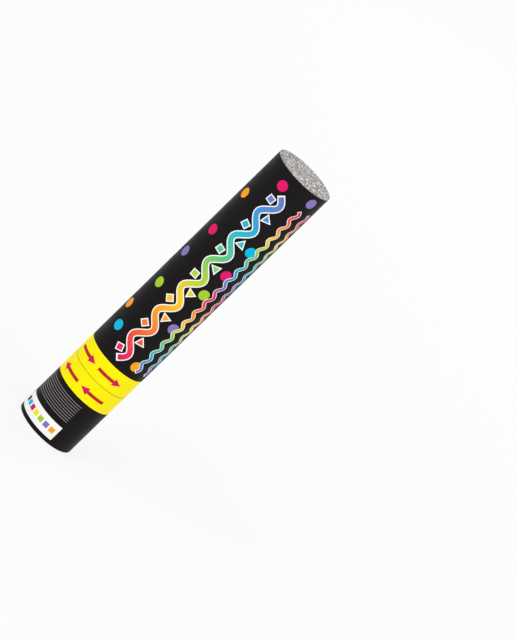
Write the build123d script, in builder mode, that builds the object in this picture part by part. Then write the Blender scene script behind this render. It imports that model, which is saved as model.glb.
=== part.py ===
from build123d import *

import os
from math import cos, floor, radians, sin, sqrt

# Twist-fired confetti cannon. A card barrel holds tissue slips under a glitter disc. A card base turns
# on a sleeve below it and carries an air bottle. A quarter turn of the base lifts the bottle's plug
# along two helical slots, and the air drives the wad and the slips out of the muzzle.
# Millimetres. The origin is the middle of the foot, and +Z runs along the barrel to the muzzle.

# Overall sizes
total_length = 280.0
outer_diameter = 51.0
twist_line_height = 61.5
twist_gap = 0.4
twist_angle = 90.0
overrun = 1.0  # how far a cut runs past the face that it opens

# Clearances
glue_gap = 0.05  # between pieces that are glued, pressed or crimped together
running_gap = 0.2  # between pieces that turn on each other
seal_gap = 0.03  # between a rubber ring and what it wipes
seat_gap = 0.3  # between a loose piece and the seat that it lies on

# Card tubes and printed paper
paper_thickness = 0.25
paper_seam = 0.3
barrel_tube_wall = 2.0
sleeve_wall = 1.5
sleeve_foot_gap = 9.0  # from the base cap's skirt to the sleeve's lower end

outer_radius = outer_diameter / 2
paper_bore_radius = outer_radius - paper_thickness
tube_radius = paper_bore_radius - glue_gap
barrel_bore_radius = tube_radius - barrel_tube_wall
sleeve_radius = barrel_bore_radius - glue_gap
sleeve_bore_radius = sleeve_radius - sleeve_wall
base_bore_radius = sleeve_radius + running_gap
base_top = twist_line_height - twist_gap / 2
barrel_bottom = twist_line_height + twist_gap / 2

# Base cap
cap_lip_thickness = 0.8
cap_lip_setback = 0.15
cap_lip_chamfer = 0.3
cap_wall = 1.6
cap_recess_depth = 3.0
cap_floor_thickness = 2.0
cap_skirt_height = 13.0
cap_rib_count = 6
cap_rib_thickness = 1.4
cap_rib_setback = 0.6
cap_hub_radius = 6.0
crush_rib_height = 7.0
crush_rib_count = 8
crush_rib_width = 1.2

cap_lip_radius = outer_radius - cap_lip_setback
cap_skirt_radius = base_bore_radius - glue_gap
cap_skirt_bore_radius = cap_skirt_radius - cap_wall
cap_skirt_top = cap_lip_thickness + cap_skirt_height
cap_floor_top = cap_recess_depth + cap_floor_thickness
sleeve_bottom = cap_skirt_top + sleeve_foot_gap

# Air bottle
bottle_play = 2.0  # from the bottle to the sleeve round it
bottle_wall = 0.9
bottle_body_height = 66.0
bottle_shoulder_height = 13.0
bottle_neck_height = 11.0
bottle_dome_rise = 5.0
bottle_heel_radius = 4.0
neck_wall = 1.5
bead_height = 3.2
bead_overhang = 1.5

# Valve, plug and cam, from the seat outwards
seat_bore_radius = 4.5
valve_wall = 1.4
flow_gap = 1.2  # the air's way round the lifted plug
castle_wall = 1.3
cam_wall = 2.6
cam_web = 1.3
cam_key_width = 2.0
cam_key_height = 0.9
pin_diameter = 2.5
slot_play = 0.25
plug_lift = 8.0
plug_play = 0.12
plug_head_length = 7.0
plug_head_setback = 1.0
plug_stem_radius = 2.9
plug_crown = 4.0
plug_chamfer = 0.6
gasket_thickness = 1.0
flange_thickness = 2.5
spigot_depth = 8.0
ferrule_wall = 0.5
ring_section = 1.8

neck_bore_radius = seat_bore_radius + valve_wall + glue_gap
neck_radius = neck_bore_radius + neck_wall
bead_radius = neck_radius + bead_overhang
ferrule_bore_radius = bead_radius + glue_gap
ferrule_radius = ferrule_bore_radius + ferrule_wall
castle_bore_radius = seat_bore_radius + flow_gap
castle_radius = castle_bore_radius + castle_wall
cam_bore_radius = castle_radius + running_gap
cam_radius = cam_bore_radius + cam_wall
pin_radius = pin_diameter / 2
slot_radius = pin_radius + slot_play
ring_radius = ring_section / 2

bottle_radius = sleeve_bore_radius - bottle_play
bottle_bottom = cap_floor_top
shoulder_bottom = bottle_bottom + bottle_body_height
neck_bottom = shoulder_bottom + bottle_shoulder_height
neck_top = neck_bottom + bottle_neck_height
bead_bottom = neck_top - bead_height
ferrule_bottom = bead_bottom - glue_gap - ferrule_wall
flange_bottom = neck_top + gasket_thickness
flange_top = flange_bottom + flange_thickness
ferrule_top = flange_top + glue_gap + ferrule_wall
neck_ring_height = ferrule_top + glue_gap + ring_radius
cam_bottom = neck_ring_height + ring_radius + running_gap
pin_height = cam_bottom + cam_web + slot_radius
cam_top = pin_height + plug_lift + slot_radius + cam_web
plug_head_top = flange_top - plug_head_setback
plug_head_bottom = plug_head_top - plug_head_length
plug_ring_height = (plug_head_top + plug_head_bottom) / 2
plug_top = pin_height + plug_crown

# Release housing, its clip and the plug stop
boss_wall = 2.4
plate_thickness = 3.0
skirt_depth = 11.0
skirt_wall = 1.8
housing_rib_count = 6
housing_rib_thickness = 1.6
gusset_height = 9.0
gusset_reach = 7.0
clip_thickness = 1.2
clip_prong_width = 3.0
clip_land = 1.6  # boss wall left below the clip
clip_bridge_width = 2.5
clip_corner_radius = 1.0
stop_thickness = 2.0
stop_arm_count = 3
stop_arm_width = 2.4
stop_hub_radius = 3.4

collar_bore_radius = ferrule_radius + running_gap
boss_bore_radius = cam_radius + glue_gap
boss_radius = max(collar_bore_radius, boss_bore_radius) + boss_wall
ledge_bore_radius = castle_radius + glue_gap + ring_section + running_gap
ledge_bottom = ferrule_top + running_gap
plate_bottom = cam_bottom - plate_thickness
housing_skirt_radius = sleeve_bore_radius - glue_gap
housing_skirt_bore_radius = housing_skirt_radius - skirt_wall
clip_top = ferrule_bottom - running_gap
clip_bottom = clip_top - clip_thickness
clip_gap_half = neck_radius + running_gap
clip_half_width = clip_gap_half + clip_prong_width
clip_radius = boss_radius + clip_bridge_width
boss_bottom = clip_bottom - clip_land
boss_top = plug_top + plug_lift + seat_gap
stop_top = boss_top + stop_thickness

# Wad, confetti and muzzle disc
wad_thickness = 6.0
wad_chamfer = 0.8
pad_thickness = 8.0
charge_play = 0.3
disc_thickness = 1.2
disc_recess = 0.1
disc_play = 0.2
top_card_thickness = 1.5
headspace = 24.0
tier_count = 2
stack_corner_angle = 29.0  # where the two middle stacks' corners meet the bore
sheaf_thickness = 1.5
sheaf_gap = 0.15
sheaf_stagger = 0.8  # how far every other sheaf stands up from its neighbours
confetti_colours = ("red", "yellow", "green", "blue", "pink")

charge_radius = barrel_bore_radius - charge_play
wad_bottom = stop_top + seat_gap
pad_bottom = wad_bottom + wad_thickness
pad_top = pad_bottom + pad_thickness
disc_bottom = total_length - disc_recess - disc_thickness
barrel_tube_top = disc_bottom - glue_gap
top_card_bottom = disc_bottom - headspace - top_card_thickness
tier_height = (top_card_bottom - pad_top) / tier_count
slip_length = tier_height - seat_gap - sheaf_stagger


# Card tubes and printed paper

with BuildPart() as barrel_tube:
    with BuildSketch(Plane.XY.offset(barrel_bottom)):
        Circle(tube_radius)
        Circle(barrel_bore_radius, mode=Mode.SUBTRACT)
    extrude(amount=barrel_tube_top - barrel_bottom)

with BuildPart() as barrel_wrap:
    with BuildSketch(Plane.XY.offset(barrel_bottom)):
        Circle(outer_radius)
        Circle(paper_bore_radius, mode=Mode.SUBTRACT)
        with Locations((0, outer_radius)):
            Rectangle(paper_seam, outer_radius, mode=Mode.SUBTRACT)
    extrude(amount=total_length - barrel_bottom)

with BuildPart() as coupling_sleeve:
    with BuildSketch(Plane.XY.offset(sleeve_bottom)):
        Circle(sleeve_radius)
        Circle(sleeve_bore_radius, mode=Mode.SUBTRACT)
    extrude(amount=plate_bottom - sleeve_bottom)

with BuildPart() as base_tube:
    with BuildSketch(Plane.XY.offset(cap_lip_thickness)):
        Circle(tube_radius)
        Circle(base_bore_radius, mode=Mode.SUBTRACT)
    extrude(amount=base_top - cap_lip_thickness)

with BuildPart() as base_wrap:
    with BuildSketch(Plane.XY.offset(cap_lip_thickness)):
        Circle(outer_radius)
        Circle(paper_bore_radius, mode=Mode.SUBTRACT)
        with Locations((0, outer_radius)):
            Rectangle(paper_seam, outer_radius, mode=Mode.SUBTRACT)
    extrude(amount=base_top - cap_lip_thickness)


# Base cap: a lip under the tube, a skirt inside it, and a floor that the bottle stands on

with BuildPart() as base_cap:
    with BuildSketch():
        Circle(cap_lip_radius)
        Circle(cap_skirt_bore_radius, mode=Mode.SUBTRACT)
    extrude(amount=cap_lip_thickness)
    lip_edge = base_cap.edges().filter_by(GeomType.CIRCLE).group_by(Axis.Z)[0].sort_by(SortBy.RADIUS)[-1]
    chamfer(lip_edge, cap_lip_chamfer)
    with BuildSketch():
        Circle(cap_skirt_radius)
        Circle(cap_skirt_bore_radius, mode=Mode.SUBTRACT)
    extrude(amount=cap_skirt_top)
    with BuildSketch(Plane.XY.offset(cap_recess_depth)):
        Circle(cap_skirt_radius)
    extrude(amount=cap_floor_thickness)
    # Crush ribs inside the skirt that grip the bottle's foot
    crush_rib_reach = cap_skirt_bore_radius + cap_wall / 2 - bottle_radius - glue_gap
    with BuildSketch(Plane.XY.offset(cap_floor_top)):
        with PolarLocations(bottle_radius + glue_gap + crush_rib_reach / 2, crush_rib_count):
            Rectangle(crush_rib_reach, crush_rib_width)
    extrude(amount=crush_rib_height)
    # Stiffening ribs and hub in the recess under the floor
    with BuildSketch(Plane.XY.offset(cap_rib_setback)):
        Circle(cap_hub_radius)
        Circle(cap_hub_radius - cap_wall, mode=Mode.SUBTRACT)
        with PolarLocations((cap_hub_radius + cap_skirt_bore_radius) / 2, cap_rib_count):
            Rectangle(cap_skirt_bore_radius - cap_hub_radius + cap_wall, cap_rib_thickness)
    extrude(amount=cap_recess_depth - cap_rib_setback)


# Air bottle: a drawn shell with a domed foot, a round shoulder and a beaded neck


def bottle_half_section(inset, top, neck):
    """Half section of the bottle's outside, or of its inside when it is drawn in by the wall."""
    body = bottle_radius - inset
    foot = bottle_bottom + inset
    heel = bottle_heel_radius - inset
    with BuildSketch(Plane.XZ) as half_section:
        with BuildLine():
            dome = TangentArc((0, foot + bottle_dome_rise), (body - heel, foot), tangent=(1, 0))
            heel_arc = TangentArc(dome @ 1, (body, foot + heel), tangent=(1, 0))
            Line(heel_arc @ 1, (body, shoulder_bottom))
            shoulder = EllipticalCenterArc(
                (neck, shoulder_bottom),
                body - neck,
                bottle_shoulder_height - inset,
                start_angle=0,
                arc_size=90,
            )
            Polyline(shoulder @ 1, (neck, top), (0, top), dome @ 0)
        make_face()
    return half_section.sketch


with BuildPart() as air_bottle:
    revolve(bottle_half_section(0, neck_top, neck_radius))
    with BuildSketch(Plane.XY.offset(bead_bottom)):
        Circle(bead_radius)
    extrude(amount=bead_height)
    revolve(bottle_half_section(bottle_wall, neck_top + overrun, neck_bore_radius), mode=Mode.SUBTRACT)


# Valve on the bottle's neck: gasket, body with a slotted castle, crimped ferrule and sealing ring

with BuildPart() as neck_gasket:
    with BuildSketch(Plane.XY.offset(neck_top)):
        Circle(bead_radius)
        Circle(neck_bore_radius, mode=Mode.SUBTRACT)
    extrude(amount=gasket_thickness)

with BuildPart() as valve_body:
    with BuildSketch(Plane.XZ):
        with BuildLine():
            Polyline(
                (seat_bore_radius, neck_top - spigot_depth),
                (neck_bore_radius - glue_gap, neck_top - spigot_depth),
                (neck_bore_radius - glue_gap, flange_bottom),
                (bead_radius, flange_bottom),
                (bead_radius, flange_top),
                (castle_radius, flange_top),
                (castle_radius, cam_top),
                (castle_bore_radius, cam_top),
                (castle_bore_radius, flange_top),
                (seat_bore_radius, flange_top),
                close=True,
            )
        make_face()
    revolve()
    # Upright slots that turn the cross pin with the bottle and let it rise
    with BuildSketch(Plane.YZ):
        with Locations((0, pin_height + plug_lift / 2)):
            Rectangle(2 * slot_radius, plug_lift + 2 * slot_radius)
    extrude(amount=castle_radius + overrun, both=True, mode=Mode.SUBTRACT)

with BuildPart() as crimp_ferrule:
    with BuildSketch(Plane.XZ):
        with BuildLine():
            Polyline(
                (neck_radius + glue_gap, ferrule_bottom),
                (ferrule_radius, ferrule_bottom),
                (ferrule_radius, ferrule_top),
                (castle_radius + glue_gap, ferrule_top),
                (castle_radius + glue_gap, ferrule_top - ferrule_wall),
                (ferrule_bore_radius, ferrule_top - ferrule_wall),
                (ferrule_bore_radius, ferrule_bottom + ferrule_wall),
                (neck_radius + glue_gap, ferrule_bottom + ferrule_wall),
                close=True,
            )
        make_face()
    revolve()

with BuildPart() as neck_ring:
    with Locations((0, 0, neck_ring_height)):
        Torus(castle_radius + glue_gap + ring_radius, ring_radius)


# Plug, its sealing ring and the cross pin that lifts it

with BuildPart() as valve_plug:
    with BuildSketch(Plane.XY.offset(plug_head_bottom)):
        Circle(seat_bore_radius - plug_play)
    extrude(amount=plug_head_length)
    chamfer(valve_plug.edges().group_by(Axis.Z)[0], plug_chamfer)
    with BuildSketch(Plane.XY.offset(plug_head_top)):
        Circle(plug_stem_radius)
    extrude(amount=plug_top - plug_head_top)
    chamfer(valve_plug.edges().group_by(Axis.Z)[-1], plug_chamfer)
    # Groove for the sealing ring
    with BuildSketch(Plane.XY.offset(plug_ring_height)):
        Circle(seat_bore_radius)
        Circle(seat_bore_radius - seal_gap - ring_section - glue_gap, mode=Mode.SUBTRACT)
    extrude(amount=ring_radius + glue_gap, both=True, mode=Mode.SUBTRACT)
    with BuildSketch(Plane.YZ):
        with Locations((0, pin_height)):
            Circle(pin_radius)
    extrude(amount=plug_stem_radius + overrun, both=True, mode=Mode.SUBTRACT)

with BuildPart() as plug_ring:
    with Locations((0, 0, plug_ring_height)):
        Torus(seat_bore_radius - seal_gap - ring_radius, ring_radius)

with BuildPart() as cross_pin:
    with BuildSketch(Plane.YZ):
        with Locations((0, pin_height)):
            Circle(pin_radius)
    extrude(amount=cam_radius - slot_play, both=True)


# Cam ring: two helical slots that the cross pin climbs as the base turns

with BuildPart() as cam_slot:
    with BuildLine() as climb:
        Helix(
            plug_lift * 360 / twist_angle,
            plug_lift,
            (cam_bore_radius + cam_radius) / 2,
            center=(0, 0, pin_height),
            lefthand=True,
        )
    with BuildSketch(Plane(climb.line @ 0, x_dir=(1, 0, 0), z_dir=climb.line % 0)):
        Rectangle(cam_wall + 2 * overrun, 2 * slot_radius)
    sweep(path=climb.line, is_frenet=True)

with BuildPart() as cam_ring:
    with BuildSketch(Plane.XY.offset(cam_bottom)):
        Circle(cam_radius)
        with Locations((0, cam_radius)):
            Rectangle(cam_key_width, 2 * cam_key_height)
        Circle(cam_bore_radius, mode=Mode.SUBTRACT)
    extrude(amount=cam_top - cam_bottom)
    with PolarLocations(0, 2):
        add(cam_slot.part, mode=Mode.SUBTRACT)
    # Round ends of the slots
    for turn, rise in ((0, 0), (twist_angle, plug_lift)):
        with BuildSketch(Plane.YZ.rotated((0, 0, -turn))):
            with Locations((0, pin_height + rise)):
                Circle(slot_radius)
        extrude(amount=cam_radius + overrun, both=True, mode=Mode.SUBTRACT)


# Release housing: a bulkhead glued into the barrel on the sleeve's end, round the cam and the neck

with BuildPart() as release_housing:
    with BuildSketch(Plane.XZ):
        with BuildLine():
            Polyline(
                (collar_bore_radius, boss_bottom),
                (boss_radius, boss_bottom),
                (boss_radius, boss_top),
                (boss_bore_radius, boss_top),
                (boss_bore_radius, cam_bottom),
                (ledge_bore_radius, cam_bottom),
                (ledge_bore_radius, ledge_bottom),
                (collar_bore_radius, ledge_bottom),
                close=True,
            )
        make_face()
    revolve()
    with BuildSketch(Plane.XY.offset(plate_bottom)):
        Circle(sleeve_radius)
        Circle(boss_radius, mode=Mode.SUBTRACT)
    extrude(amount=plate_thickness)
    with BuildSketch(Plane.XY.offset(plate_bottom)):
        Circle(housing_skirt_radius)
        Circle(housing_skirt_bore_radius, mode=Mode.SUBTRACT)
    extrude(amount=-skirt_depth)
    # Ribs under the plate, above the clip
    rib_length = housing_skirt_bore_radius - boss_radius
    with BuildSketch(Plane.XY.offset(plate_bottom)):
        with PolarLocations(boss_radius + rib_length / 2, housing_rib_count, 180 / housing_rib_count):
            Rectangle(rib_length + 2 * glue_gap, housing_rib_thickness)
    extrude(amount=clip_top + clip_land - plate_bottom)
    # Gussets on the plate, between the pin's two access holes
    for rib in range(housing_rib_count):
        rib_angle = (rib + 1 / 2) * 360 / housing_rib_count
        with BuildSketch(Plane.XZ.rotated((0, 0, rib_angle))):
            with BuildLine():
                Polyline(
                    (boss_radius - glue_gap, cam_bottom - glue_gap),
                    (boss_radius + gusset_reach, cam_bottom - glue_gap),
                    (boss_radius - glue_gap, cam_bottom + gusset_height),
                    close=True,
                )
            make_face()
        extrude(amount=housing_rib_thickness / 2, both=True)
    # Access holes for the cross pin, keyway for the cam ring, and slots for the clip's prongs
    with BuildSketch(Plane.YZ):
        with Locations((0, pin_height)):
            Circle(slot_radius)
    extrude(amount=boss_radius + overrun, both=True, mode=Mode.SUBTRACT)
    with BuildSketch(Plane.XY.offset(cam_bottom)):
        with Locations((0, cam_radius)):
            Rectangle(cam_key_width + 2 * glue_gap, 2 * (cam_key_height + glue_gap))
    extrude(amount=boss_top - cam_bottom + overrun, mode=Mode.SUBTRACT)
    with BuildSketch(Plane.XY.offset(clip_bottom - glue_gap)):
        with GridLocations(clip_gap_half + clip_half_width, 0, 2, 1):
            Rectangle(clip_prong_width + 2 * glue_gap, 2 * (boss_radius + overrun))
    extrude(amount=clip_thickness + 2 * glue_gap, mode=Mode.SUBTRACT)

with BuildPart() as retaining_clip:
    with BuildSketch(Plane.XY.offset(clip_bottom)):
        # A bridge round the back of the boss, and two prongs through it beside the neck
        Circle(clip_radius)
        Circle(boss_radius + glue_gap, mode=Mode.SUBTRACT)
        with Locations((0, clip_radius / 2)):
            Rectangle(2 * clip_radius, clip_radius, mode=Mode.SUBTRACT)
        with GridLocations(clip_gap_half + clip_half_width, 0, 2, 1):
            Rectangle(clip_prong_width, 2 * collar_bore_radius)
        Rectangle(2 * clip_half_width, 2 * clip_radius, mode=Mode.INTERSECT)
        Circle(clip_radius, mode=Mode.INTERSECT)
    extrude(amount=clip_thickness)
    prong_tips = retaining_clip.edges().filter_by(Axis.Z).group_by(Axis.Y)[-1]
    fillet(prong_tips, clip_corner_radius)

with BuildPart() as plug_stop:
    with BuildSketch(Plane.XY.offset(boss_top)):
        Circle(boss_radius)
        Circle(boss_bore_radius, mode=Mode.SUBTRACT)
        Circle(stop_hub_radius)
        with PolarLocations(boss_bore_radius / 2, stop_arm_count):
            Rectangle(boss_bore_radius + 2 * glue_gap, stop_arm_width)
    extrude(amount=stop_thickness)


# Wad and pad that push the charge

with BuildPart() as pusher_wad:
    with BuildSketch(Plane.XY.offset(wad_bottom)):
        Circle(charge_radius)
    extrude(amount=wad_thickness)
    chamfer(pusher_wad.edges().group_by(Axis.Z)[0], wad_chamfer)

with BuildPart() as wad_pad:
    with BuildSketch(Plane.XY.offset(pad_bottom)):
        Circle(charge_radius)
    extrude(amount=pad_thickness)


# Confetti: tissue slips stand in stacks, and each solid is a sheaf of slips of one colour

stack_half_depth = charge_radius * sin(radians(stack_corner_angle))
slip_width = charge_radius * cos(radians(stack_corner_angle)) - sheaf_gap / 2
outer_stack_reach = sqrt(charge_radius**2 - (slip_width / 2) ** 2)
side_offset = (slip_width + sheaf_gap) / 2
stacks = (
    (-side_offset, -stack_half_depth, stack_half_depth),
    (side_offset, -stack_half_depth, stack_half_depth),
    (0, stack_half_depth + sheaf_gap, outer_stack_reach),
    (0, -outer_stack_reach, -stack_half_depth - sheaf_gap),
)


def sheaf_places(colour):
    """Place and thickness of each sheaf of one colour: the colours take turns through every stack."""
    for tier in range(tier_count):
        quarter_turn = 90 * tier
        foot = pad_top + seat_gap + tier * tier_height
        for stack, (across, low, high) in enumerate(stacks):
            sheaf_count = floor((high - low) / sheaf_thickness)
            pitch = (high - low) / sheaf_count
            for sheaf in range(sheaf_count):
                if (sheaf + stack + tier) % len(confetti_colours) == colour:
                    depth = low + (sheaf + 1 / 2) * pitch
                    height = foot + slip_length / 2 + sheaf_stagger * (sheaf % 2)
                    place = Location((0, 0, 0), (0, 0, quarter_turn)) * Location((across, depth, height))
                    yield place, pitch - sheaf_gap


confetti = {}
for colour, colour_name in enumerate(confetti_colours):
    with BuildPart() as sheaves:
        for place, thickness in sheaf_places(colour):
            with Locations(place):
                Box(slip_width, thickness, slip_length)
    confetti["confetti_" + colour_name] = sheaves

with BuildPart() as top_card:
    with BuildSketch(Plane.XY.offset(top_card_bottom)):
        Circle(charge_radius)
    extrude(amount=top_card_thickness)

with BuildPart() as muzzle_disc:
    with BuildSketch(Plane.XY.offset(disc_bottom)):
        Circle(paper_bore_radius - disc_play)
    extrude(amount=disc_thickness)


# Each sub-part in its own file

sub_parts = {
    "barrel_tube": barrel_tube,
    "barrel_wrap": barrel_wrap,
    "coupling_sleeve": coupling_sleeve,
    "release_housing": release_housing,
    "cam_ring": cam_ring,
    "retaining_clip": retaining_clip,
    "plug_stop": plug_stop,
    "base_tube": base_tube,
    "base_wrap": base_wrap,
    "base_cap": base_cap,
    "air_bottle": air_bottle,
    "neck_gasket": neck_gasket,
    "valve_body": valve_body,
    "crimp_ferrule": crimp_ferrule,
    "neck_ring": neck_ring,
    "valve_plug": valve_plug,
    "plug_ring": plug_ring,
    "cross_pin": cross_pin,
    "pusher_wad": pusher_wad,
    "wad_pad": wad_pad,
    **confetti,
    "top_card": top_card,
    "muzzle_disc": muzzle_disc,
}
os.makedirs("parts", exist_ok=True)
for node_name, sub_part in sub_parts.items():
    sub_part.part.label = node_name
    export_step(sub_part.part, f"parts/{node_name}.step")
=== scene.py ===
"""Looks of a twist-fired confetti popper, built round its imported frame.

Lengths are in metres in the frame's axes: +Z runs from the foot to the muzzle, and -Y is the printed front.
Print is laid out flat: an angle in degrees from the front, positive towards +X, and a height above the foot
in millimetres.
"""

import logging
import math
import random
from collections.abc import Iterable, Sequence
from dataclasses import dataclass, field
from enum import Enum
from typing import TypeAlias

import bmesh
import bpy
from mathutils import Matrix, Vector


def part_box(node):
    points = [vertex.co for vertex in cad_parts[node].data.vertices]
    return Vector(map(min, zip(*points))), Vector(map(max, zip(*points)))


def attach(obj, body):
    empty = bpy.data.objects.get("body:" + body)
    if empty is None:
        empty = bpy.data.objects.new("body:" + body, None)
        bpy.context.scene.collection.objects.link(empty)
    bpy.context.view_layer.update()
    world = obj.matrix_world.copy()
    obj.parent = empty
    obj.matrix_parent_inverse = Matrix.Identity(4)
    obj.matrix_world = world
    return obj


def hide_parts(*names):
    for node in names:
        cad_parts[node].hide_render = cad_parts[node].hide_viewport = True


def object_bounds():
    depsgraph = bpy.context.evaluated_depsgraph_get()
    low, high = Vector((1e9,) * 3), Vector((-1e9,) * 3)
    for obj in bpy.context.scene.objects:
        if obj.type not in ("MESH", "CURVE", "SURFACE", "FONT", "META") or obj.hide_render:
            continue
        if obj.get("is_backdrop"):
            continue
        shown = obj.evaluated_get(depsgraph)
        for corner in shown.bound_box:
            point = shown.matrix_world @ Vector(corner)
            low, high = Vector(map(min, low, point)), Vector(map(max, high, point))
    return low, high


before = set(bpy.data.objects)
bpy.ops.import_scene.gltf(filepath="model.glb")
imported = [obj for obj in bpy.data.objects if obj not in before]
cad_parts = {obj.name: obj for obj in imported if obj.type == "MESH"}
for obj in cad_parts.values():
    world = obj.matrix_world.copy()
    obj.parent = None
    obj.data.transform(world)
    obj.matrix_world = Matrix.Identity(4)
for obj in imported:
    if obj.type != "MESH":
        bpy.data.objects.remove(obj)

Steps: TypeAlias = tuple[int, int, int]
Colour: TypeAlias = tuple[float, float, float, float]
Span: TypeAlias = tuple[float, float]
Outline: TypeAlias = Sequence[tuple[float, float]]
Socket: TypeAlias = bpy.types.NodeSocket
Tree: TypeAlias = bpy.types.NodeTree
Material: TypeAlias = bpy.types.Material
Mesh: TypeAlias = bpy.types.Mesh
Piece: TypeAlias = bpy.types.Object

# Points nearer than WELD become one, and an edge that turns by more than CREASE stays sharp.
# Nearly all of a noise's values lie in NOISE_SPAN, and a tone shades a colour in full over TONE_SPAN.
# A piece's own flat map is named SHEET_MAP.
MM = 0.001
WELD = 1e-7
CREASE = math.radians(35.0)
UNIT_SPAN = (0.0, 1.0)
NOISE_SPAN = (0.3, 0.7)
TONE_SPAN = (0.25, 0.75)
# The tone that each glitter flake carries: it differs at random, and its few near-white values are painted
# glints.
FLAKE_GLINT_TONE = "flake_tone"
SHEET_MAP = "OFBake"
log = logging.getLogger("confetti_popper")


def linear(steps: Steps) -> Colour:
    """Gives the linear colour of an sRGB colour written in steps of 255."""
    shares = [step / 255 for step in steps]
    return (*[s / 12.92 if s <= 0.04045 else ((s + 0.055) / 1.055) ** 2.4 for s in shares], 1.0)


class Ink(Enum):
    """Inks of the printed paper, as sRGB steps."""

    BLACK = (21, 17, 18)
    YELLOW = (255, 240, 0)
    ORANGE = (250, 164, 30)
    CYAN = (0, 186, 226)
    LIME = (164, 206, 54)
    VIOLET = (134, 120, 186)
    PINK = (222, 22, 104)
    BRICK = (192, 36, 42)
    MAGENTA = (218, 22, 96)
    WHITE = (252, 252, 250)
    GREY = (138, 134, 135)

    @property
    def colour(self) -> Colour:
        """Linear colour of the ink."""
        return linear(self.value)


# Shader nodes


class NodeWork:
    """Adds nodes to a tree in the order that they work."""

    def __init__(self, tree: Tree) -> None:
        """Keeps the tree that the nodes go into."""
        self.tree = tree

    def add(self, kind: str, feeds: dict | None = None, **settings: object) -> bpy.types.Node:
        """Adds a node.

        Args:
            kind: the node's type.
            feeds: socket or value for each input, by the input's name or number.
            settings: the node's own properties.

        Returns:
            The new node.
        """
        node = self.tree.nodes.new(kind)
        for name, value in settings.items():
            setattr(node, name, value)
        for key, feed in (feeds or {}).items():
            if isinstance(feed, bpy.types.NodeSocket):
                self.tree.links.new(feed, node.inputs[key])
            else:
                node.inputs[key].default_value = feed
        return node

    def get(self, kind: str, feeds: dict | None = None, **settings: object) -> Socket:
        """Adds a node and gives the first of its outputs that is in use."""
        return next(socket for socket in self.add(kind, feeds, **settings).outputs if socket.enabled)

    def math(self, operation: str, *terms: Socket | float) -> Socket:
        """Works a Math node's operation out."""
        return self.get("ShaderNodeMath", dict(enumerate(terms)), operation=operation)

    def ramp(self, value: Socket, taken: Span, given: Span) -> Socket:
        """Maps a value smoothly from the span that is taken to the span that is given."""
        feeds = dict(enumerate((value, *taken, *given)))
        return self.get("ShaderNodeMapRange", feeds, interpolation_type="SMOOTHSTEP")

    def noise(self, where: Socket, scale: Socket | float, detail: float) -> Socket:
        """Gives the value of a noise texture."""
        feeds = {"Vector": where, "Scale": scale, "Detail": detail, "Roughness": 0.6}
        return self.get("ShaderNodeTexNoise", feeds)

    def scale(self, vector: Socket | Sequence[float], factor: Socket) -> Socket:
        """Scales a vector or a colour."""
        return self.get("ShaderNodeVectorMath", {0: vector, "Scale": factor}, operation="SCALE")

    def split(self, vector: Socket) -> Sequence[Socket]:
        """Splits a vector into its three parts."""
        return list(self.add("ShaderNodeSeparateXYZ", {0: vector}).outputs)

    def join(self, *parts: Socket | float) -> Socket:
        """Joins three values into a vector."""
        return self.get("ShaderNodeCombineXYZ", dict(enumerate(parts)))


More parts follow.
